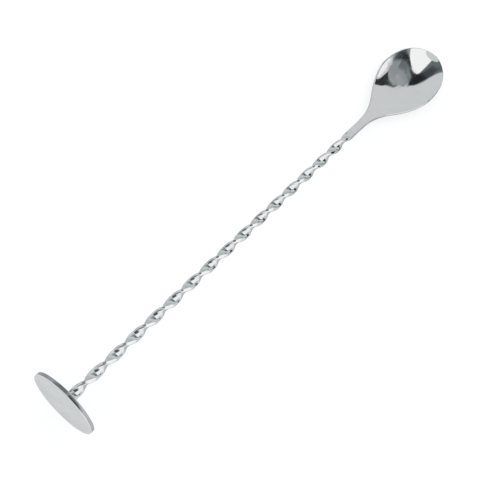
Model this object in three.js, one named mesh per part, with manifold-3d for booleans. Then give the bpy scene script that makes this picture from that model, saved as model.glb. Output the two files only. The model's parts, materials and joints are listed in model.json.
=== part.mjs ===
// Bar spoon in polished stainless steel: an oval bowl with a flat neck, a stem twisted from flat
// strip, and a thin round disc welded across the stem's far end for crushing and layering.
//
// Every piece is designed in the stem's own frame, in millimetres: X runs along the stem from the
// middle of the disc to the bowl's tip, Z is the side the bowl opens to, and the stem's centreline
// is y = z = 0. The disc leans a little from square. The finished spoon is then tilted to lie on
// its disc and on the bottom of its bowl, with +Z up and the origin under the middle of its box.

import * as THREE from 'three';
import Module from 'manifold-3d';
import { mergeVertices } from 'three/addons/utils/BufferGeometryUtils.js';

const wasm = await Module();
wasm.setup();

// Driving dimensions, mm.
const jointGap = 0.05;
const disc = { radius: 14.55, thickness: 1.6, bevel: 0.12, lean: THREE.MathUtils.degToRad(2.6), sides: 72 };
const strip = { width: 4.22, thickness: 1.9, edgeRadius: 0.6, arcSteps: 1 };
const twist = { halfTurn: 10.75, end: 177.2, easing: 1.6, stepsPerHalfTurn: 8 };
const bead = { radius: 3.1, neckRadius: 2.4, height: 1.3, flatness: 0.72, steps: 4, sides: 40 };
const neck = { start: 179.5, halfWidth: 1.97, waistAt: 182.5, waistHalfWidth: 1.93 };
const shoulder = { x: 204.2, halfWidth: 6.5, slope: 0.595 };
const bowl = { widestAt: 225.2, halfWidth: 14.6, tip: 250, fullness: 0.09, sheet: 0.95 };
const hollow = { start: 190, deepestAt: 226, depth: 5.6, heelEase: 3.4, endSharpness: 0.1, rimFlare: 0.15 };

// The rim's height along the bowl: it drops from the neck to the shoulder, rises to the middle of
// the bowl and falls again towards the tip.
const rimWaves = [
  { from: 186, to: 204, rise: -1.7 },
  { from: 204, to: 228, rise: 2.4 },
  { from: 228, to: 258, rise: -1.6 },
];
const sheetTaper = { from: 184, to: 206 };
const bowlGrid = { neckSteps: 4, heelSteps: 16, frontSteps: 12, acrossSteps: 12 };

const polishedSteel = new THREE.MeshStandardMaterial({ color: 0xc9cccd, roughness: 0.12, metalness: 1 });
const twistedSteel = new THREE.MeshStandardMaterial({ color: 0xc4c7c9, roughness: 0.16, metalness: 1 });
const satinSteel = new THREE.MeshStandardMaterial({ color: 0xc0c3c6, roughness: 0.32, metalness: 1 });
const weldSteel = new THREE.MeshStandardMaterial({ color: 0xa9a7a2, roughness: 0.4, metalness: 1 });

// ---- Curves ----

// 0 to 1 with flat ends and no jump in curvature.
function smoothRamp(x, from, to) {
  return THREE.MathUtils.smootherstep(x, from, to);
}

// Cubic through (x0, y0) and (x1, y1) with the given slopes at its ends.
function hermite(x, x0, y0, slope0, x1, y1, slope1) {
  const length = x1 - x0;
  const t = (x - x0) / length;
  const t2 = t * t;
  const t3 = t2 * t;
  return (2 * t3 - 3 * t2 + 1) * y0 + (t3 - 2 * t2 + t) * length * slope0
    + (3 * t2 - 2 * t3) * y1 + (t3 - t2) * length * slope1;
}

// Half the width of the neck and bowl, in plan.
function halfWidth(x) {
  if (x < neck.waistAt) {
    return hermite(x, neck.start, neck.halfWidth, 0, neck.waistAt, neck.waistHalfWidth, 0);
  }
  if (x < shoulder.x) {
    return hermite(x, neck.waistAt, neck.waistHalfWidth, 0, shoulder.x, shoulder.halfWidth, shoulder.slope);
  }
  if (x < bowl.widestAt) {
    return hermite(x, shoulder.x, shoulder.halfWidth, shoulder.slope, bowl.widestAt, bowl.halfWidth, 0);
  }
  const s = Math.min((x - bowl.widestAt) / (bowl.tip - bowl.widestAt), 1);
  return bowl.halfWidth * Math.sqrt(1 - s * s) * (1 + bowl.fullness * s * s * (1 - s * s));
}

// Height of the underside's edge all along the neck and bowl.
function edgeHeight(x) {
  return rimWaves.reduce(
    (height, wave) => height + wave.rise * smoothRamp(x, wave.from, wave.to),
    -strip.thickness / 2,
  );
}

// How far the underside's centreline lies below its edge.
function hollowDepth(x) {
  if (x < hollow.start) return 0;
  if (x < hollow.deepestAt) {
    const u = (hollow.deepestAt - x) / (hollow.deepestAt - hollow.start);
    return hollow.depth * (1 - u * u) ** hollow.heelEase;
  }
  const s = (x - hollow.deepestAt) / (bowl.tip - hollow.deepestAt);
  return hollow.depth * (1 - (1 - hollow.endSharpness) * s ** 2 - hollow.endSharpness * s ** 4);
}

// Share of the depth left at v, which goes from -1 to 1 across the bowl. The sides ease off a
// little towards the rim.
function crossProfile(v) {
  return 1 - (1 + hollow.rimFlare) * v ** 2 + hollow.rimFlare * v ** 4;
}

function sheetThickness(x) {
  return THREE.MathUtils.lerp(strip.thickness, bowl.sheet, smoothRamp(x, sheetTaper.from, sheetTaper.to));
}

// Angle of the strip's broad side about the stem: half a turn for every twist.halfTurn of length,
// easing to rest at the flat neck.
function twistAngle(x) {
  const past = x - twist.end;
  let lengthLeft = -past;
  if (past >= twist.easing) lengthLeft = 0;
  else if (past > -twist.easing) lengthLeft = (twist.easing - past) ** 2 / (4 * twist.easing);
  return Math.PI - Math.PI * lengthLeft / twist.halfTurn;
}

// ---- Neck and bowl: one stamping ----

function undersidePoint(x, v) {
  return new THREE.Vector3(x, halfWidth(x) * v, edgeHeight(x) - hollowDepth(x) * crossProfile(v));
}

// Upward normal of the underside, from its slopes along and across the bowl.
function undersideNormal(x, v) {
  const step = 0.01;
  const near = Math.min(x, bowl.tip - 5 * step);
  const slope = (curve) => (curve(near + step) - curve(near - step)) / (2 * step);
  const crossSlope = -2 * (1 + hollow.rimFlare) * v + 4 * hollow.rimFlare * v ** 3;
  const width = halfWidth(near);
  const depth = hollowDepth(near);
  const acrossSlope = -depth * crossSlope / width;
  const alongSlope = slope(edgeHeight) - slope(hollowDepth) * crossProfile(v)
    + depth * crossSlope * v * slope(halfWidth) / width;
  return new THREE.Vector3(-alongSlope, -acrossSlope, 1).normalize();
}

function upperPoint(x, v) {
  return undersidePoint(x, v).addScaledVector(undersideNormal(x, v), sheetThickness(x));
}

// Places of the cross-sections, closing up towards the tip.
function bowlStations() {
  const spread = (from, to, steps) =>
    Array.from({ length: steps }, (_, i) => from + (to - from) * i / steps);
  const front = Array.from({ length: bowlGrid.frontSteps }, (_, i) => {
    const angle = Math.PI / 2 * i / bowlGrid.frontSteps;
    return bowl.widestAt + (bowl.tip - bowl.widestAt) * Math.sin(angle);
  });
  return [
    ...spread(neck.start, sheetTaper.from, bowlGrid.neckSteps),
    ...spread(sheetTaper.from, bowl.widestAt, bowlGrid.heelSteps),
    ...front,
  ];
}

function bowlGeometry() {
  const stations = bowlStations();
  const across = bowlGrid.acrossSteps;
  const spanV = Array.from({ length: across + 1 }, (_, j) => Math.sin(Math.PI * (j / across - 0.5)));
  const positions = [];
  const indices = [];
  const addPoint = (point) => positions.push(...point.toArray()) / 3 - 1;
  const rows = stations.map((x) => ({
    upper: spanV.map((v) => addPoint(upperPoint(x, v))),
    under: spanV.map((v) => addPoint(undersidePoint(x, v))),
  }));
  const tip = {
    upper: addPoint(upperPoint(bowl.tip, 0)),
    under: addPoint(undersidePoint(bowl.tip, 0)),
  };
  const addQuad = (a, b, c, d) => indices.push(a, b, c, a, c, d);

  for (let i = 0; i + 1 < rows.length; i += 1) {
    const here = rows[i];
    const next = rows[i + 1];
    for (let j = 0; j < across; j += 1) {
      addQuad(here.upper[j], next.upper[j], next.upper[j + 1], here.upper[j + 1]);
      addQuad(here.under[j], here.under[j + 1], next.under[j + 1], next.under[j]);
    }
    addQuad(here.under[0], next.under[0], next.upper[0], here.upper[0]);
    addQuad(here.upper[across], next.upper[across], next.under[across], here.under[across]);
  }

  // The end of the neck, where it meets the stem.
  const first = rows[0];
  for (let j = 0; j < across; j += 1) {
    addQuad(first.under[j], first.upper[j], first.upper[j + 1], first.under[j + 1]);
  }

  // The tip, where all the lines along the bowl meet.
  const last = rows[rows.length - 1];
  for (let j = 0; j < across; j += 1) {
    indices.push(last.upper[j], tip.upper, last.upper[j + 1]);
    indices.push(last.under[j], last.under[j + 1], tip.under);
  }
  addQuad(last.under[0], tip.under, tip.upper, last.upper[0]);
  addQuad(last.upper[across], tip.upper, tip.under, last.under[across]);

  const geometry = new THREE.BufferGeometry();
  geometry.setAttribute('position', new THREE.Float32BufferAttribute(positions, 3));
  geometry.setIndex(indices);
  return geometry;
}

// ---- Twisted stem ----

// The strip's section, grown all round by the given margin.
function stripSection(margin) {
  const halfW = strip.width / 2 + margin;
  const halfT = strip.thickness / 2 + margin;
  const radius = strip.edgeRadius;
  const section = new THREE.Shape();
  section.absarc(halfW - radius, halfT - radius, radius, 0, Math.PI / 2, false);
  section.absarc(radius - halfW, halfT - radius, radius, Math.PI / 2, Math.PI, false);
  section.absarc(radius - halfW, radius - halfT, radius, Math.PI, 1.5 * Math.PI, false);
  section.absarc(halfW - radius, radius - halfT, radius, 1.5 * Math.PI, 2 * Math.PI, false);
  section.closePath();
  return section;
}

// The strip is cut square, so it stops short of the leaning disc by its own half width's share.
const stemStart = disc.thickness / 2 + jointGap + strip.width / 2 * Math.tan(disc.lean);
const stemLength = neck.start - jointGap - stemStart;
const stemSteps = Math.ceil(stemLength / twist.halfTurn * twist.stepsPerHalfTurn);

// The strip between two of the stem's steps, turned about the stem's centreline. Near the neck it
// narrows to meet it.
function twistedStripGeometry(firstStep, lastStep, margin) {
  const stepLength = stemLength / stemSteps;
  const from = stemStart + firstStep * stepLength;
  const geometry = new THREE.ExtrudeGeometry(stripSection(margin), {
    depth: (lastStep - firstStep) * stepLength,
    steps: lastStep - firstStep,
    curveSegments: strip.arcSteps,
    bevelEnabled: false,
  });
  const position = geometry.getAttribute('position');
  for (let i = 0; i < position.count; i += 1) {
    const x = from + position.getZ(i);
    const narrowing = smoothRamp(x, twist.end - twist.halfTurn / 2, neck.start);
    const across = position.getX(i) * THREE.MathUtils.lerp(1, 2 * neck.halfWidth / strip.width, narrowing);
    const through = position.getY(i);
    const angle = twistAngle(x);
    position.setXYZ(
      i,
      x,
      across * Math.cos(angle) - through * Math.sin(angle),
      across * Math.sin(angle) + through * Math.cos(angle),
    );
  }
  return geometry;
}

// ---- Disc and its weld ----

function discGeometry() {
  const { radius, thickness, bevel, sides } = disc;
  const profile = [
    new THREE.Vector2(0, 0),
    new THREE.Vector2(radius - bevel, 0),
    new THREE.Vector2(radius, bevel),
    new THREE.Vector2(radius, thickness - bevel),
    new THREE.Vector2(radius - bevel, thickness),
    new THREE.Vector2(0, thickness),
  ];
  return leaned(turnedOntoStem(new THREE.LatheGeometry(profile, sides)).translate(-thickness / 2, 0, 0));
}

// Lays a lathed shape's axis along the stem.
function turnedOntoStem(geometry) {
  return geometry.rotateZ(-Math.PI / 2);
}

// Leans a shape with the disc, whose upper edge is tipped outwards from square.
function leaned(geometry) {
  return geometry.rotateY(-disc.lean);
}

// Oval fillet of weld metal round the strip's foot, hollowed by the strip itself.
function weldGeometry() {
  const reach = bead.radius - bead.neckRadius;
  const profile = [new THREE.Vector2(0, 0)];
  for (let i = 0; i <= bead.steps; i += 1) {
    const angle = Math.PI / 2 * i / bead.steps;
    profile.push(new THREE.Vector2(
      bead.radius - reach * Math.sin(angle),
      bead.height * (1 - Math.cos(angle)),
    ));
  }
  profile.push(new THREE.Vector2(0, bead.height));
  const fillet = turnedOntoStem(new THREE.LatheGeometry(profile, bead.sides))
    .scale(1, 1, bead.flatness)
    .rotateX(twistAngle(stemStart + bead.height / 2))
    .translate(disc.thickness / 2 + jointGap, 0, 0);
  const foot = twistedStripGeometry(-1, 2, jointGap);
  return fromSolid(toSolid(leaned(fillet)).subtract(toSolid(foot)));
}

// ---- Solids for cutting ----

function toSolid(geometry) {
  const bare = geometry.clone();
  bare.deleteAttribute('normal');
  bare.deleteAttribute('uv');
  const merged = mergeVertices(bare);
  return new wasm.Manifold(new wasm.Mesh({
    numProp: 3,
    vertProperties: merged.getAttribute('position').array,
    triVerts: new Uint32Array(merged.getIndex().array),
  }));
}

function fromSolid(solid) {
  const mesh = solid.getMesh();
  const geometry = new THREE.BufferGeometry();
  geometry.setAttribute('position', new THREE.Float32BufferAttribute(mesh.vertProperties, 3));
  geometry.setIndex(new THREE.Uint32BufferAttribute(mesh.triVerts, 1));
  return geometry;
}

// ---- Assembly ----

function namedPiece(name, geometry, material) {
  geometry.computeVertexNormals();
  const mesh = new THREE.Mesh(geometry, material);
  mesh.name = name;
  return mesh;
}

// The slope at which the spoon rests on the disc's lower edge and the bowl's underside.
function restingSlope(discPiece, bowlPiece) {
  const points = (piece) => {
    const position = piece.geometry.getAttribute('position');
    return Array.from({ length: position.count }, (_, i) => ({ x: position.getX(i), z: position.getZ(i) }));
  };
  const underBowl = points(bowlPiece);
  const feet = points(discPiece).filter(({ z }) => z < 0.98 * -disc.radius);
  const slopeFrom = (foot) => Math.min(...underBowl.map(({ x, z }) => Math.atan2(z - foot.z, x - foot.x)));
  return Math.max(...feet.map(slopeFrom));
}

const bowlPiece = namedPiece('bowl', bowlGeometry(), polishedSteel);
const stemPiece = namedPiece('twisted_stem', twistedStripGeometry(0, stemSteps, 0), twistedSteel);
const discPiece = namedPiece('muddler_disc', discGeometry(), satinSteel);
const weldPiece = namedPiece('disc_weld', weldGeometry(), weldSteel);

const lying = new THREE.Group();
lying.add(bowlPiece, stemPiece, discPiece, weldPiece);
lying.rotation.y = restingSlope(discPiece, bowlPiece);

const spoon = new THREE.Group();
spoon.add(lying);
spoon.updateMatrixWorld(true);

const box = new THREE.Box3().setFromObject(lying, true);
lying.position.set(-(box.min.x + box.max.x) / 2, 0, -box.min.z);
spoon.updateMatrixWorld(true);

export default spoon;
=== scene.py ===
"""Twisted bar spoon in polished stainless steel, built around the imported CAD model.

Shapes are worked out in the stem's own frame, in millimetres: X runs along the stem from the
middle of the disc to the bowl's tip, Z is the side the bowl opens to. The record's disc_face mount
says where that frame lies, so every piece goes where the CAD model has it.
"""

import json
import math

import bpy
import numpy as np
from mathutils import Matrix, Vector


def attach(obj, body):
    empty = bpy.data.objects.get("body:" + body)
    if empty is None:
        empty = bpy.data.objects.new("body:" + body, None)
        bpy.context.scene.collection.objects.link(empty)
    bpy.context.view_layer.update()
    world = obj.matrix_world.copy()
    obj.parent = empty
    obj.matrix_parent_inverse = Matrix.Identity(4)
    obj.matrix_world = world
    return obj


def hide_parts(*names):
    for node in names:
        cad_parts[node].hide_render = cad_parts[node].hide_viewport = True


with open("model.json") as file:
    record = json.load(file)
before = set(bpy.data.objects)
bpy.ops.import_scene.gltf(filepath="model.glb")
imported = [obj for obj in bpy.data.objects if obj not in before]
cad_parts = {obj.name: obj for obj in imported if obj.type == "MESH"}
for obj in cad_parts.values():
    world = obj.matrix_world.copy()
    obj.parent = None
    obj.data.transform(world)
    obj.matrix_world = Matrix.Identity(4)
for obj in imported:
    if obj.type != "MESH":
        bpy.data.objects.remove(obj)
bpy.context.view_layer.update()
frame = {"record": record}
MM = 0.001

# ---- Driving dimensions, mm, as in the CAD model, where the disc's edge_round is a bevel ----

DISC = {"radius": 14.55, "thickness": 1.6, "edge_round": 0.14, "lean": math.radians(2.6)}
STRIP = {"width": 4.22, "thickness": 1.9, "edge_round": 0.6}
TWIST = {"half_turn": 10.75, "end": 177.2, "easing": 1.6}
BEAD = {"radius": 3.1, "neck_radius": 2.4, "height": 1.3, "flatness": 0.72}
NECK = {"start": 179.5, "half_width": 1.97, "waist_at": 182.5, "waist_half_width": 1.93}
SHOULDER = {"x": 204.2, "half_width": 6.5, "slope": 0.595}
BOWL = {"widest_at": 225.2, "half_width": 14.6, "tip": 250.0, "fullness": 0.09, "sheet": 0.95}
HOLLOW = {
    "start": 190.0,
    "deepest_at": 226.0,
    "depth": 5.6,
    "heel_ease": 3.4,
    "end_sharpness": 0.1,
    "rim_flare": 0.15,
}

# How the rim rises and falls along the bowl, as (start, end, rise).
RIM_WAVES = [(186.0, 204.0, -1.7), (204.0, 228.0, 2.4), (228.0, 258.0, -1.6)]

# Between these the strip's thickness and edge radius ease into the bowl's sheet and rim.
SHEET_TAPER = (184.0, 206.0)
RIM_ROUND = 0.3

# Where the neck and the stem meet, in the middle of the gap that the CAD model leaves there.
SEAM = 179.475


# ---- The stem's frame in the model ----

# Turns a shape that is square to the stem into one that leans, upper edge outwards, as the disc does.
LEAN = Matrix.Rotation(-DISC["lean"], 4, "Y")


def stem_frame():
    """Matrix from the stem's frame, in millimetres, to the model's, in metres."""
    face = next(m for m in frame["record"]["mounts"] if m["name"] == "disc_face")
    inwards = -Vector(face["axis"]).normalized()
    across = Vector((0.0, 1.0, 0.0))
    up = inwards.cross(across)
    turn = Matrix((inwards, across, up)).transposed().to_4x4()
    at_face = Matrix.Translation(Vector(face["pos_m"])) @ turn @ Matrix.Scale(MM, 4)
    to_middle = Matrix.Translation((DISC["thickness"] / 2, 0.0, 0.0))
    return at_face @ to_middle @ LEAN.inverted()


STEM = stem_frame()


# ---- Curves ----

def smooth_ramp(x, start, end):
    """0 to 1 with flat ends and no jump in curvature."""
    t = np.clip((x - start) / (end - start), 0.0, 1.0)
    return t ** 3 * (t * (6 * t - 15) + 10)


def cubic(x, start, end):
    """The cubic between two stations, each an (x, value, slope)."""
    (x0, value0, slope0), (x1, value1, slope1) = start, end
    length = x1 - x0
    t = (x - x0) / length
    rise = 3 * t ** 2 - 2 * t ** 3
    bend = (t ** 3 - 2 * t ** 2 + t) * slope0 + (t ** 3 - t ** 2) * slope1
    return (1 - rise) * value0 + rise * value1 + length * bend


def half_width(x):
    """Half the width of the neck and bowl, in plan."""
    start = (NECK["start"], NECK["half_width"], 0.0)
    waist = (NECK["waist_at"], NECK["waist_half_width"], 0.0)
    shoulder = (SHOULDER["x"], SHOULDER["half_width"], SHOULDER["slope"])
    widest = (BOWL["widest_at"], BOWL["half_width"], 0.0)
    s = np.clip((x - BOWL["widest_at"]) / (BOWL["tip"] - BOWL["widest_at"]), 0.0, 1.0)
    width = BOWL["half_width"] * np.sqrt(1 - s ** 2) * (1 + BOWL["fullness"] * s ** 2 * (1 - s ** 2))
    for rear, front in ((shoulder, widest), (waist, shoulder), (start, waist)):
        width = np.where(x < front[0], cubic(x, rear, front), width)
    return width


def edge_height(x):
    """Height of the underside's edge along the neck and bowl."""
    height = -STRIP["thickness"] / 2
    for start, end, rise in RIM_WAVES:
        height = height + rise * smooth_ramp(x, start, end)
    return height


def hollow_depth(x):
    """How far the underside's centreline lies below its edge."""
    deepest, sharp = HOLLOW["deepest_at"], HOLLOW["end_sharpness"]
    u = np.clip((deepest - x) / (deepest - HOLLOW["start"]), 0.0, 1.0)
    s = np.clip((x - deepest) / (BOWL["tip"] - deepest), 0.0, 1.0)
    heel = (1 - u ** 2) ** HOLLOW["heel_ease"]
    front = 1 - (1 - sharp) * s ** 2 - sharp * s ** 4
    return HOLLOW["depth"] * np.where(x < deepest, heel, front)


def cross_profile(v):
    """Share of the depth left at v, which goes from -1 to 1 across the bowl."""
    flare = HOLLOW["rim_flare"]
    return 1 - (1 + flare) * v ** 2 + flare * v ** 4


def sheet_thickness(x):
    """Thickness of the neck and bowl: the strip's at the seam, thinner round the bowl."""
    return STRIP["thickness"] + (BOWL["sheet"] - STRIP["thickness"]) * smooth_ramp(x, *SHEET_TAPER)


def edge_round(x):
    """Corner radius of the neck's and rim's edges: the strip's at the seam, finer round the bowl."""
    return STRIP["edge_round"] + (RIM_ROUND - STRIP["edge_round"]) * smooth_ramp(x, *SHEET_TAPER)


def twist_angle(x):
    """Turn of the strip's width from flat, which it reaches gently at the end of the twist."""
    past = x - TWIST["end"]
    easing = TWIST["easing"]
    eased = (easing - past) ** 2 / (4 * easing)
    left = np.where(past >= easing, 0.0, np.where(past > -easing, eased, -past))
    return math.pi - math.pi * left / TWIST["half_turn"]


# ---- Mesh making ----

def make_object(name, points, faces, sharp_rings=(), grain=None):
    """A smooth-shaded mesh from points in the stem's frame.

    Each vertex also carries "grain", its place in millimetres along and across the metal's own
    grain, which the materials read. It is the place in the stem's frame unless given.
    """
    mesh = bpy.data.meshes.new(name)
    mesh.from_pydata([STEM @ Vector(p) for p in points], [], faces)
    carried = np.asarray(points if grain is None else grain, dtype=np.float32)
    mesh.attributes.new("grain", "FLOAT_VECTOR", "POINT").data.foreach_set("vector", carried.ravel())
    mesh.shade_smooth()
    sharp = {frozenset((ring[i - 1], ring[i])) for ring in sharp_rings for i in range(len(ring))}
    for edge in mesh.edges:
        edge.use_edge_sharp = frozenset(edge.vertices) in sharp
    obj = bpy.data.objects.new(name, mesh)
    bpy.context.scene.collection.objects.link(obj)
    return obj


def loft(rings):
    """Points and quads through rings of equal length, and the rings' point numbers."""
    count = len(rings[0])
    points = np.concatenate(rings)
    numbers = [list(range(i * count, (i + 1) * count)) for i in range(len(rings))]
    faces = []
    for here, there in zip(numbers, numbers[1:]):
        for j in range(count):
            k = (j + 1) % count
            faces.append((here[j], there[j], there[k], here[k]))
    return points, faces, numbers


# ---- Neck and bowl ----

ACROSS_STEPS = 72
STATIONS = {"neck": 60, "heel": 120, "front": 90}
SLOPE_STEP = 0.002


def bowl_surface(x, v):
    """Point halfway through the sheet, the sheet's upward normal and the distance in from its rim."""
    near = min(x, BOWL["tip"] - 5 * SLOPE_STEP)

    def slope(curve):
        return (curve(near + SLOPE_STEP) - curve(near - SLOPE_STEP)) / (2 * SLOPE_STEP)

    flare = HOLLOW["rim_flare"]
    cross_slope = -2 * (1 + flare) * v + 4 * flare * v ** 3
    width, depth = float(half_width(near)), float(hollow_depth(near))
    width_slope = float(slope(half_width))
    across = -depth * cross_slope / width
    from_widening = depth * cross_slope * v * width_slope / width
    along = slope(edge_height) - slope(hollow_depth) * cross_profile(v) + from_widening
    normal = np.stack([-along, -across, np.ones_like(v)], -1)
    normal /= np.linalg.norm(normal, axis=-1, keepdims=True)
    full_width = float(half_width(x))
    height = edge_height(x) - hollow_depth(x) * cross_profile(v)
    under = np.stack([np.full_like(v, x), full_width * v, height], -1)
    middle = under + normal * sheet_thickness(x) / 2
    inset = full_width * (1 - np.abs(v)) / math.hypot(1, width_slope)
    inset = np.minimum(inset, BOWL["tip"] - x) * np.sqrt(1 + along ** 2 + across ** 2)
    return middle, normal, inset


def bowl_ring(x):
    """One closed section: over the upper side from -Y to +Y and back along the underside."""
    v = np.sin(np.linspace(-math.pi / 2, math.pi / 2, ACROSS_STEPS + 1))
    middle, normal, inset = bowl_surface(x, v)
    radius = float(edge_round(x))
    from_arc = np.clip(radius - inset, 0.0, radius)
    half = sheet_thickness(x) / 2 - radius + np.sqrt(radius ** 2 - from_arc ** 2)
    upper = middle + normal * half[:, None]
    under = middle - normal * half[:, None]
    return np.concatenate([upper, under[::-1]])


def build_bowl():
    wide, tip = BOWL["widest_at"], BOWL["tip"]
    closing = np.sin(np.linspace(0, math.pi / 2, STATIONS["front"] + 1))[:-1]
    stations = np.concatenate([
        np.linspace(SEAM, SHEET_TAPER[0], STATIONS["neck"], endpoint=False),
        np.linspace(SHEET_TAPER[0], wide, STATIONS["heel"], endpoint=False),
        wide + (tip - wide) * closing,
    ])
    points, faces, numbers = loft([bowl_ring(float(x)) for x in stations])
    end_middle, end_normal, _ = bowl_surface(tip, np.zeros(1))
    flat = (BOWL["sheet"] / 2 - RIM_ROUND) * end_normal[0]
    points = np.concatenate([points, [end_middle[0] + flat, end_middle[0] - flat]])
    top, bottom = len(points) - 2, len(points) - 1
    last, half = numbers[-1], ACROSS_STEPS + 1
    for j in range(ACROSS_STEPS):
        faces.append((last[j], top, last[j + 1]))
        faces.append((last[half + j], bottom, last[half + j + 1]))
    faces.append((last[half - 1], top, bottom, last[half]))
    faces.append((last[-1], bottom, top, last[0]))
    faces.append(tuple(numbers[0]))
    return make_object("spoon_bowl", points, faces, [numbers[0]])


# ---- Twisted stem ----

STEPS_PER_HALF_TURN = 48
FACE_POINTS = 13
CORNER_POINTS = 9


def strip_section(narrowing):
    """The strip's rounded section as (across, through), the same points all the way along."""
    half_w = STRIP["width"] / 2 + (NECK["half_width"] - STRIP["width"] / 2) * narrowing
    half_t, radius = STRIP["thickness"] / 2, STRIP["edge_round"]
    flat = np.linspace(-1, 1, FACE_POINTS)[1:-1]
    points = []
    for quarter, (sx, sy) in enumerate([(1, 1), (-1, 1), (-1, -1), (1, -1)]):
        for angle in np.linspace(0, math.pi / 2, CORNER_POINTS) + quarter * math.pi / 2:
            points.append((
                sx * (half_w - radius) + radius * math.cos(angle),
                sy * (half_t - radius) + radius * math.sin(angle),
            ))
        if quarter % 2 == 0:
            points.extend((-sx * t * (half_w - radius), sy * half_t) for t in flat)
    return np.array(points)


def build_stem():
    """The twisted strip, from where its square end clears the leaning disc to the seam."""
    start = DISC["thickness"] / 2 + STRIP["width"] / 2 * math.tan(DISC["lean"])
    steps = round((SEAM - start) / TWIST["half_turn"] * STEPS_PER_HALF_TURN)
    rings = []
    grain = []
    for x in np.linspace(start, SEAM, steps + 1):
        narrowing = float(smooth_ramp(x, TWIST["end"] - TWIST["half_turn"] / 2, NECK["start"]))
        across, through = strip_section(narrowing).T
        angle = float(twist_angle(x))
        grain.append(np.stack([np.full_like(across, x), across, through], -1))
        rings.append(np.stack([
            np.full_like(across, x),
            across * math.cos(angle) - through * math.sin(angle),
            across * math.sin(angle) + through * math.cos(angle),
        ], -1))
    points, faces, numbers = loft(rings)
    faces = [face[::-1] for face in faces]
    faces += [tuple(numbers[0][::-1]), tuple(numbers[-1])]
    ends = [numbers[0], numbers[-1]]
    return make_object("twisted_strip_stem", points, faces, ends, np.concatenate(grain))


# ---- Disc and weld ----

DISC_SIDES = 192
DISC_FACE_POINTS = 24
DISC_EDGE_POINTS = 7
BEAD_SIDES = 96
BEAD_POINTS = 12


def turned(profile, sides, flatness=1.0, angle=0.0):
    """A solid that leans as the disc does, turned from (x, radius) points that start and end on its axis.

    Returns its points, its faces and its points before they lean.
    """
    turns = np.linspace(0, 2 * math.pi, sides, endpoint=False)
    rings = []
    for x, radius in profile[1:-1]:
        y, z = radius * np.cos(turns), radius * flatness * np.sin(turns)
        rings.append(np.stack([
            np.full_like(y, x),
            y * math.cos(angle) - z * math.sin(angle),
            y * math.sin(angle) + z * math.cos(angle),
        ], -1))
    points, faces, numbers = loft(rings)
    faces = [face[::-1] for face in faces]
    points = np.concatenate([points, [(profile[0][0], 0, 0), (profile[-1][0], 0, 0)]])
    first, last = len(points) - 2, len(points) - 1
    for j in range(sides):
        k = (j + 1) % sides
        faces.append((numbers[0][k], numbers[0][j], first))
        faces.append((numbers[-1][j], numbers[-1][k], last))
    return [LEAN @ Vector(point) for point in points], faces, points


def build_disc():
    radius, corner, half = DISC["radius"], DISC["edge_round"], DISC["thickness"] / 2
    rim = radius - corner
    turns = np.linspace(0, math.pi / 2, DISC_EDGE_POINTS)
    profile = [(-half, r) for r in np.linspace(0, rim, DISC_FACE_POINTS)[:-1]]
    profile += [(corner - half - corner * math.cos(t), rim + corner * math.sin(t)) for t in turns]
    profile += [(half - corner + corner * math.sin(t), rim + corner * math.cos(t)) for t in turns]
    profile += [(half, r) for r in np.linspace(rim, 0, DISC_FACE_POINTS)[1:]]
    points, faces, grain = turned(profile, DISC_SIDES)
    return make_object("round_disc", points, faces, grain=grain)


def build_weld():
    """An oval fillet round the end of the strip, turned to lie along the strip's width."""
    start, height, radius = DISC["thickness"] / 2, BEAD["height"], BEAD["radius"]
    reach = radius - BEAD["neck_radius"]
    turns = np.linspace(0, math.pi / 2, BEAD_POINTS)
    profile = [(start, 0.0)]
    profile += [(start + height * (1 - math.cos(t)), radius - reach * math.sin(t)) for t in turns]
    profile.append((start + height, 0.0))
    angle = float(twist_angle(start + height / 2))
    points, faces, grain = turned(profile, BEAD_SIDES, BEAD["flatness"], angle)
    return make_object("disc_weld_bead", points, faces, grain=grain)


# ---- Materials ----

def new_material(name):
    material = bpy.data.materials.new(name)
    material.use_nodes = True
    nodes, links = material.node_tree.nodes, material.node_tree.links
    return material, nodes, links, nodes["Principled BSDF"]


def set_metal(shader, colour, roughness):
    shader.inputs["Metallic"].default_value = 1.0
    shader.inputs["Base Color"].default_value = (*colour, 1.0)
    shader.inputs["Roughness"].default_value = roughness


def grain_place(nodes):
    place = nodes.new("ShaderNodeAttribute")
    place.attribute_name = "grain"
    return place.outputs["Vector"]


def noise(nodes, links, frequency, detail=3.0, turn=0.0):
    """Noise with its own frequency, per millimetre, along each axis of the grain."""
    mapping = nodes.new("ShaderNodeMapping")
    mapping.inputs["Rotation"].default_value = (0.0, 0.0, math.radians(turn))
    mapping.inputs["Scale"].default_value = frequency
    links.new(grain_place(nodes), mapping.inputs["Vector"])
    texture = nodes.new("ShaderNodeTexNoise")
    texture.inputs["Scale"].default_value = 1.0
    texture.inputs["Detail"].default_value = detail
    links.new(mapping.outputs[0], texture.inputs["Vector"])
    return texture.outputs["Fac"]


def remap(nodes, links, value, source, target):
    ramp = nodes.new("ShaderNodeMapRange")
    ramp.interpolation_type = "SMOOTHSTEP"
    ramp.inputs["From Min"].default_value = source[0]
    ramp.inputs["From Max"].default_value = source[1]
    ramp.inputs["To Min"].default_value = target[0]
    ramp.inputs["To Max"].default_value = target[1]
    links.new(value, ramp.inputs["Value"])
    return ramp.outputs["Result"]


def combine(nodes, links, operation, first, second):
    math_node = nodes.new("ShaderNodeMath")
    math_node.operation = operation
    links.new(first, math_node.inputs[0])
    if isinstance(second, float):
        math_node.inputs[1].default_value = second
    else:
        links.new(second, math_node.inputs[1])
    return math_node.outputs[0]


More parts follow.
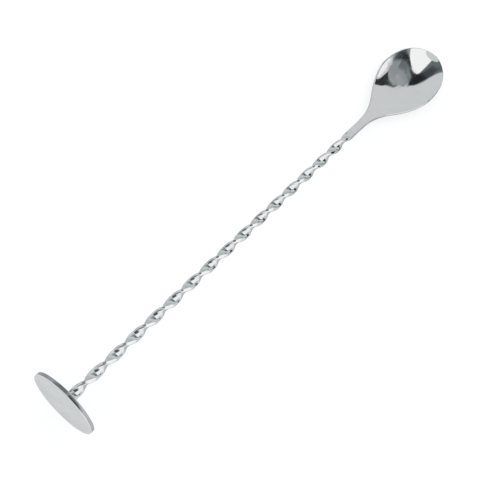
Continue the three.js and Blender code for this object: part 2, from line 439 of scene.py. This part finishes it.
def blend(nodes, links, amount, first, second):
    """Mix a first colour, or colour socket, into a second by an amount from 0 to 1."""
    mix = nodes.new("ShaderNodeMix")
    mix.data_type = "RGBA"
    links.new(amount, mix.inputs["Factor"])
    for name, colour in (("A", first), ("B", second)):
        socket = next(s for s in mix.inputs if s.name == name and s.type == "RGBA")
        if isinstance(colour, tuple):
            socket.default_value = (*colour, 1.0)
        else:
            links.new(colour, socket)
    return next(s for s in mix.outputs if s.type == "RGBA")


def relief(nodes, links, shader, height, depth):
    """Bump whose full height is a depth in millimetres."""
    bump = nodes.new("ShaderNodeBump")
    bump.inputs["Distance"].default_value = depth * MM
    bump.inputs["Strength"].default_value = 1.0
    links.new(height, bump.inputs["Height"])
    links.new(bump.outputs[0], shader.inputs["Normal"])


def from_axis(nodes, links):
    """Distance in millimetres from the stem's axis, and place along it."""
    parts = nodes.new("ShaderNodeSeparateXYZ")
    links.new(grain_place(nodes), parts.inputs[0])
    y2 = combine(nodes, links, "MULTIPLY", parts.outputs["Y"], parts.outputs["Y"])
    z2 = combine(nodes, links, "MULTIPLY", parts.outputs["Z"], parts.outputs["Z"])
    total = combine(nodes, links, "ADD", y2, z2)
    return combine(nodes, links, "POWER", total, 0.5), parts.outputs["X"]


def bowl_steel():
    """Mirror polish, faintly uneven, with hairline scratches from use mostly along the bowl."""
    material, nodes, links, shader = new_material("bowl_steel")
    set_metal(shader, (0.66, 0.66, 0.663), 0.05)
    duller, brighter = (0.65, 0.651, 0.655), (0.67, 0.669, 0.671)
    clouds = remap(nodes, links, noise(nodes, links, (0.16, 0.16, 0.16)), (0.3, 0.7), (0.0, 1.0))
    links.new(blend(nodes, links, clouds, duller, brighter), shader.inputs["Base Color"])
    lengthwise = noise(nodes, links, (0.08, 5.0, 0.3), 2.0, 8.0)
    slanting = noise(nodes, links, (0.12, 6.0, 0.3), 2.0, -27.0)
    crossing = noise(nodes, links, (0.10, 7.0, 0.3), 2.0, 64.0)
    scratches = remap(nodes, links, lengthwise, (0.66, 0.74), (0.0, 1.0))
    for direction in (slanting, crossing):
        fainter = remap(nodes, links, direction, (0.69, 0.76), (0.0, 0.8))
        scratches = combine(nodes, links, "MAXIMUM", scratches, fainter)
    polish = remap(nodes, links, noise(nodes, links, (0.3, 0.3, 0.3)), (0.3, 0.7), (0.035, 0.065))
    worn = combine(nodes, links, "MULTIPLY", scratches, 0.12)
    links.new(combine(nodes, links, "ADD", polish, worn), shader.inputs["Roughness"])
    relief(nodes, links, shader, scratches, -0.0006)
    return material


def stem_steel():
    """Drawn strip: fine marks along it, its rounded edges rubbed brighter than its faces."""
    material, nodes, links, shader = new_material("stem_steel")
    set_metal(shader, (0.64, 0.645, 0.65), 0.1)
    face_colour, edge_colour = (0.63, 0.636, 0.642), (0.66, 0.664, 0.668)
    parts = nodes.new("ShaderNodeSeparateXYZ")
    links.new(grain_place(nodes), parts.inputs[0])
    across = combine(nodes, links, "ABSOLUTE", parts.outputs["Y"], 0.0)
    rubbed = remap(nodes, links, across, (1.5, 2.0), (0.0, 1.0))
    links.new(blend(nodes, links, rubbed, face_colour, edge_colour), shader.inputs["Base Color"])
    drawn = noise(nodes, links, (0.05, 6.0, 6.0), 3.0)
    pits = noise(nodes, links, (1.6, 1.6, 1.6), 4.0)
    marks = remap(nodes, links, drawn, (0.35, 0.75), (0.07, 0.15))
    uneven = remap(nodes, links, pits, (0.3, 0.75), (-0.02, 0.03))
    faces = combine(nodes, links, "ADD", marks, uneven)
    edges = combine(nodes, links, "MULTIPLY", rubbed, -0.03)
    links.new(combine(nodes, links, "ADD", faces, edges), shader.inputs["Roughness"])
    relief(nodes, links, shader, drawn, 0.0008)
    return material


def disc_steel():
    """Satin-ground plate: straight fine grain, clouds, brighter corners from a painted highlight, a
    darker cut edge from a painted dark reflection, heat tint.
    """
    material, nodes, links, shader = new_material("disc_steel")
    set_metal(shader, (0.62, 0.625, 0.63), 0.3)
    cloudy, clear, corner_highlight_colour = (0.595, 0.605, 0.615), (0.635, 0.638, 0.64), (0.76, 0.76, 0.76)
    dark_edge_reflection_colour, straw = (0.34, 0.35, 0.37), (0.5, 0.42, 0.3)
    edge, half = DISC["radius"], DISC["thickness"] / 2
    radius, along = from_axis(nodes, links)

    clouds = remap(nodes, links, noise(nodes, links, (0.1, 0.1, 0.1), 2.0), (0.35, 0.65), (0.0, 1.0))
    face = blend(nodes, links, clouds, cloudy, clear)
    rim = remap(nodes, links, radius, (edge - 0.25, edge - 0.1), (0.0, 1.0))
    # Painted highlight: the rounded corners near the rim are coloured paler, standing in for the bevel's
    # bright reflected line.
    bright = blend(nodes, links, rim, face, corner_highlight_colour)

    # Painted dark reflection: the band of the cut edge between the two faces is coloured dark, standing
    # in for the dark band that the edge mirrors.
    past_outer = remap(nodes, links, along, (0.12 - half, 0.2 - half), (0.0, 1.0))
    before_inner = remap(nodes, links, along, (half - 0.16, half - 0.08), (1.0, 0.0))
    between = combine(nodes, links, "MULTIPLY", past_outer, before_inner)
    dark_edge_reflection_mask = combine(nodes, links, "MULTIPLY", rim, between)
    with_dark_edge_reflection = blend(nodes, links, dark_edge_reflection_mask, bright, dark_edge_reflection_colour)

    inner_side = remap(nodes, links, along, (half - 0.15, half - 0.05), (0.0, 1.0))
    near_weld = remap(nodes, links, radius, (3.2, 5.2), (0.75, 0.0))
    heated = combine(nodes, links, "MULTIPLY", inner_side, near_weld)
    links.new(blend(nodes, links, heated, with_dark_edge_reflection, straw), shader.inputs["Base Color"])

    grain = noise(nodes, links, (1.0, 9.0, 0.22), 4.0)
    satin = remap(nodes, links, grain, (0.3, 0.75), (0.24, 0.36))
    smoother = combine(nodes, links, "MULTIPLY", rim, -0.12)
    links.new(combine(nodes, links, "ADD", satin, smoother), shader.inputs["Roughness"])
    relief(nodes, links, shader, grain, 0.004)
    return material


def weld_steel():
    """Brushed-off weld: ripples round the bead, grey-blue at the disc turning to straw away from it."""
    material, nodes, links, shader = new_material("weld_steel")
    bare, grey_blue, straw = (0.5, 0.49, 0.47), (0.36, 0.38, 0.43), (0.55, 0.48, 0.36)
    set_metal(shader, bare, 0.35)
    half = DISC["thickness"] / 2
    _, along = from_axis(nodes, links)
    outward = remap(nodes, links, along, (half, half + BEAD["height"]), (0.0, 1.0))
    mottle = remap(nodes, links, noise(nodes, links, (0.9, 0.9, 0.9)), (0.3, 0.7), (0.0, 0.5))
    tint = blend(nodes, links, outward, grey_blue, straw)
    links.new(blend(nodes, links, mottle, tint, bare), shader.inputs["Base Color"])
    ripples = noise(nodes, links, (3.0, 1.3, 1.3), 2.0)
    brushed = noise(nodes, links, (8.0, 0.8, 0.8), 3.0)
    links.new(remap(nodes, links, brushed, (0.3, 0.7), (0.27, 0.42)), shader.inputs["Roughness"])
    relief(nodes, links, shader, ripples, 0.12)
    return material


# ---- Studio ----

# The floor as it is seen: "reach" is how far it goes from the spoon, in metres, and it glows so
# that it looks evenly white.
FLOOR = {"reach": 12.0, "colour": 0.35, "roughness": 0.9, "glow": 0.75}


def build_floor():
    reach, mesh = FLOOR["reach"], bpy.data.meshes.new("floor")
    corners = [(-reach, -reach, 0), (reach, -reach, 0), (reach, reach, 0), (-reach, reach, 0)]
    mesh.from_pydata(corners, [], [(0, 1, 2, 3)])
    floor = bpy.data.objects.new("floor", mesh)
    bpy.context.scene.collection.objects.link(floor)
    material, _, _, shader = new_material("floor_white")
    shader.inputs["Base Color"].default_value = (FLOOR["colour"], FLOOR["colour"], FLOOR["colour"], 1.0)
    shader.inputs["Roughness"].default_value = FLOOR["roughness"]
    shader.inputs["Specular IOR Level"].default_value = 0.0
    shader.inputs["Emission Color"].default_value = (1, 1, 1, 1)
    shader.inputs["Emission Strength"].default_value = FLOOR["glow"]
    floor.data.materials.append(material)


# What the polished steel mirrors. A soft-toned canopy hangs CEILING above the floor. It is as pale
# as the room around it but for these patches, painted one over the other: each has a name, a light
# level, the softness of its edge and its corners, in millimetres. North is +Y and west is -X.
CEILING = 300.0
PALE = 0.86
CANOPY_PATCHES = [
    ("north_wall", 0.20, 26, [
        (60, 40), (300, 60), (370, 150), (372, 250), (300, 300), (180, 300), (100, 170),
    ]),
    ("north_corner", 0.085, 30, [
        (215, 130), (310, 80), (352, 120), (360, 230), (330, 265), (240, 230),
    ]),
    ("grey_lobe", 0.42, 5, [
        (300, 58), (392, 52), (392, 20), (394, -20), (402, -65), (416, -105), (436, -155), (462, -205),
        (500, -275), (540, -345), (520, -420), (330, -300), (296, -100),
    ]),
    ("lobe_shade", 0.22, 14, [
        (318, 20), (340, 40), (330, -60), (350, -150), (420, -260), (400, -290), (330, -190),
    ]),
    ("dark_core", 0.028, 15, [
        (292, 100), (294, 30), (330, 30), (356, 58), (378, 68), (386, 100), (376, 160), (360, 240),
        (330, 200),
    ]),
    ("dark_band", 0.035, 7, [
        (290, 60), (294, 0), (298, -50), (303, -100), (312, -160), (326, -215), (352, -262), (392, -310),
        (450, -362), (500, -395), (508, -386), (462, -348), (416, -300), (376, -250), (347, -205),
        (328, -160), (317, -100), (313, -50), (314, 0), (326, 30), (330, 60),
    ]),
    ("lobe_glint", 0.52, 14, [
        (372, 0), (386, -20), (396, -90), (430, -170), (412, -200), (385, -120),
    ]),
    ("dim_patch", 0.13, 12, [(-225, -330), (-45, -330), (-45, 5), (-225, 5)]),
    ("dim_corner", 0.33, 18, [(-60, 40), (110, 50), (90, 180), (120, 300), (-60, 300)]),
    ("dim_stripe", 0.42, 14, [(-104, 40), (-10, 40), (-10, 490), (-104, 490)]),
]

# Sharp-edged cards under the canopy, as (name, light, drop below the canopy, corners).
CANOPY_CARDS = [
    ("window", 1.33, 2.0, [
        (-30, 42), (120, 46), (200, 54), (290, 62), (296, 52), (297, 0), (299, -40), (303, -100),
        (312, -160), (322, -200), (330, -240), (285, -400), (262, -690), (24, -690), (-30, -400),
    ]),
    ("wedge", 0.045, 1.5, [
        (396, -36), (402, -66), (417, -106), (437, -156), (463, -206), (502, -278), (530, -334),
        (585, -342), (663, -363), (780, -410), (780, -350), (695, -313), (578, -244), (500, -200),
        (462, -160), (427, -105), (409, -65),
    ]),
    ("spark", 1.3, 2.5, [
        (608, -360), (588, -366), (570, -374), (560, -400), (558, -428), (575, -445), (650, -452),
        (690, -425), (645, -378),
    ]),
    ("west_window", 1.15, 2.0, [(-240, 60), (-200, 60), (-200, 520), (-240, 520)]),
]

# Upright cards that stand on the floor, as (name, light, first foot, second foot, heights).
UPRIGHT_CARDS = [
    ("low_flag", 0.03, (390, -40), (362, -150), (60, 85)),
    ("side_flag", 0.03, (360, -152), (325, -225), (130, 130)),
    ("south_light", 1.3, (-450, -420), (230, -420), (230, 230)),
]

# A pale card low over the bowl's heel, for the neck to mirror, and a dark one across the spoon's
# south side, for the stem to mirror.
NECK_FILL = {"light": 0.86, "height": 60.0, "x": (70, 131), "y": (-22, 62)}
STEM_FLAG = {"light": 0.03, "x": 72.0, "y": (-56, -12), "z": (24, 58)}

# What the metal mirrors of the floor: duller than the floor itself looks, dark close to the spoon,
# where the spoon shades it, and brighter beyond the disc and to the spoon's south.
FLOOR_GLOW_HEIGHT = 0.02
FLOOR_GLOW = 0.72
FLOOR_PATCHES = [
    ("disc_floor", 0.93, 14, [(-700, -400), (-124, -400), (-124, 400), (-700, 400)]),
    ("south_floor", 1.2, 16, [(-260, -30), (50, -30), (60, -420), (-260, -420)]),
    ("spoon_shade", 0.10, 7, [
        (-112, -4), (70, -4), (88, -13), (110, -15), (128, 0), (110, 15), (88, 13), (70, 4), (-112, 4),
    ]),
]


def inside_distance(x, y, corners):
    """Distance in from a polygon's outline, negative outside it."""
    nearest = np.full(x.shape, np.inf)
    inside = np.zeros(x.shape, bool)
    for (x0, y0), (x1, y1) in zip(corners, corners[1:] + corners[:1]):
        run, rise = x1 - x0, y1 - y0
        along = np.clip(((x - x0) * run + (y - y0) * rise) / (run ** 2 + rise ** 2), 0.0, 1.0)
        nearest = np.minimum(nearest, np.hypot(x - x0 - along * run, y - y0 - along * rise))
        if rise:
            inside ^= ((y0 > y) != (y1 > y)) & (x < x0 + (y - y0) * run / rise)
    return np.where(inside, nearest, -nearest)


def painted_light(x, y, light, patches):
    light = np.full(x.shape, light)
    for _, patch_light, softness, corners in patches:
        light += (patch_light - light) * smooth_ramp(inside_distance(x, y, corners), -softness, softness)
    return light


def glow_colour(light):
    """Linear colour of a light level: neutral when bright, cooler as it gets darker."""
    cool = np.clip(1 - light, 0.0, 1.0)
    return np.stack([light * (1 - 0.17 * cool), light, light * (1 + 0.05 * cool)], -1)


def glowing_material(name, light=None):
    """Emission of an even light, or of the mesh's "glow" colours where none is given."""
    material = bpy.data.materials.new(name)
    material.use_nodes = True
    nodes, links = material.node_tree.nodes, material.node_tree.links
    nodes.clear()
    glow, output = nodes.new("ShaderNodeEmission"), nodes.new("ShaderNodeOutputMaterial")
    if light is None:
        painted = nodes.new("ShaderNodeAttribute")
        painted.attribute_name = "glow"
        links.new(painted.outputs["Color"], glow.inputs["Color"])
    else:
        glow.inputs["Color"].default_value = (*glow_colour(np.array(light)), 1.0)
    links.new(glow.outputs[0], output.inputs["Surface"])
    return material


def stage_for_mirrors(card):
    """Add a card that only reflections see."""
    card.visible_camera = False
    card.visible_diffuse = False
    card.visible_shadow = False
    bpy.context.scene.collection.objects.link(card)


def build_card(name, light, corners):
    mesh = bpy.data.meshes.new(name)
    mesh.from_pydata([Vector(corner) * MM for corner in corners], [], [tuple(range(len(corners)))])
    card = bpy.data.objects.new(name, mesh)
    card.data.materials.append(glowing_material(name, light))
    stage_for_mirrors(card)


def build_painted(name, height, base, patches, columns, rows):
    """A level sheet on a grid of columns and rows that glows with the patches painted on it."""
    x, y = (grid.astype(float) for grid in np.meshgrid(columns, rows))
    points = np.stack([x, y, np.full_like(x, height)], -1).reshape(-1, 3) * MM
    wide = len(columns)
    faces = []
    for row in range(len(rows) - 1):
        for j in range(row * wide, row * wide + wide - 1):
            faces.append((j, j + 1, j + 1 + wide, j + wide))
    mesh = bpy.data.meshes.new(name)
    mesh.from_pydata(points, [], faces)
    light = painted_light(x, y, base, patches)
    colours = np.concatenate([glow_colour(light), np.ones_like(x)[..., None]], -1)
    layer = mesh.attributes.new("glow", "FLOAT_COLOR", "POINT")
    layer.data.foreach_set("color", colours.astype(np.float32).ravel())
    sheet = bpy.data.objects.new(name, mesh)
    sheet.data.materials.append(glowing_material(name))
    stage_for_mirrors(sheet)


def build_canopy():
    """The painted canopy, with a fine grid where the bowl mirrors it."""
    columns = np.concatenate([np.arange(-420, 100, 12), np.arange(100, 460, 4), np.arange(460, 1001, 12)])
    rows = np.concatenate([np.arange(-700, -440, 12), np.arange(-440, 320, 5), np.arange(320, 561, 12)])
    build_painted("canopy", CEILING, PALE, CANOPY_PATCHES, columns, rows)


def build_floor_glow():
    """The floor as the metal mirrors it, with a fine grid round the spoon."""
    columns = np.concatenate([
        [-3000, -800], np.arange(-400, -160, 15), np.arange(-160, 180, 3), [200, 400, 1000, 3000],
    ])
    rows = np.concatenate([
        [-3000, -800], np.arange(-480, -50, 12), np.arange(-48, 49, 2), [80, 200, 800, 3000],
    ])
    build_painted("floor_glow", FLOOR_GLOW_HEIGHT, FLOOR_GLOW, FLOOR_PATCHES, columns, rows)


def build_cards():
    for name, light, drop, corners in CANOPY_CARDS:
        build_card(name, light, [(x, y, CEILING - drop) for x, y in corners])
    for name, light, (x0, y0), (x1, y1), (height0, height1) in UPRIGHT_CARDS:
        build_card(name, light, [(x0, y0, 0), (x1, y1, 0), (x1, y1, height1), (x0, y0, height0)])
    (x0, x1), (y0, y1), height = NECK_FILL["x"], NECK_FILL["y"], NECK_FILL["height"]
    corners = [(x0, y0, height), (x1, y0, height), (x1, y1, height), (x0, y1, height)]
    build_card("neck_fill", NECK_FILL["light"], corners)
    x, (y0, y1), (z0, z1) = STEM_FLAG["x"], STEM_FLAG["y"], STEM_FLAG["z"]
    build_card("stem_flag", STEM_FLAG["light"], [(x, y0, z0), (x, y1, z0), (x, y1, z1), (x, y0, z1)])


ROOM_TINT = (0.955, 1.0, 1.01)


def build_world():
    world = bpy.data.worlds.new("studio")
    world.use_nodes = True
    background = world.node_tree.nodes["Background"]
    background.inputs["Color"].default_value = (*ROOM_TINT, 1.0)
    background.inputs["Strength"].default_value = PALE
    bpy.context.scene.world = world


# The viewpoint, in the stem's frame: beyond the disc's end, well above and a little to one side.
CAMERA = {
    "at": (-93.4, -41.5, 343.8),
    "look": (0.48609, 0.10315, -0.86780),
    "up": (0.59919, 0.68351, 0.41687),
    "lens": 72.29,
    "sensor": 36.0,
    "clip": (0.01, 20.0),
}


def build_camera():
    data = bpy.data.cameras.new("camera")
    data.lens = CAMERA["lens"]
    data.sensor_width = CAMERA["sensor"]
    data.clip_start, data.clip_end = CAMERA["clip"]
    camera = bpy.data.objects.new("camera", data)
    bpy.context.scene.collection.objects.link(camera)
    turn = STEM.to_3x3().normalized()
    back = -(turn @ Vector(CAMERA["look"])).normalized()
    up = (turn @ Vector(CAMERA["up"])).normalized()
    right = up.cross(back).normalized()
    up = back.cross(right)
    rotation = Matrix((right, up, back)).transposed().to_4x4()
    camera.matrix_world = Matrix.Translation(STEM @ Vector(CAMERA["at"])) @ rotation
    bpy.context.scene.camera = camera


# ---- Assembly ----

def place(piece, node, slot, material):
    piece.data.materials.append(material)
    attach(piece, "root")
    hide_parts(node)


place(build_bowl(), "bowl", "polished_steel", bowl_steel())
place(build_stem(), "twisted_stem", "stem_steel", stem_steel())
place(build_disc(), "muddler_disc", "satin_steel", disc_steel())
place(build_weld(), "disc_weld", "weld_steel", weld_steel())

build_floor()
build_canopy()
build_floor_glow()
build_cards()
build_world()
build_camera()
bpy.context.scene.view_settings.view_transform = "Standard"
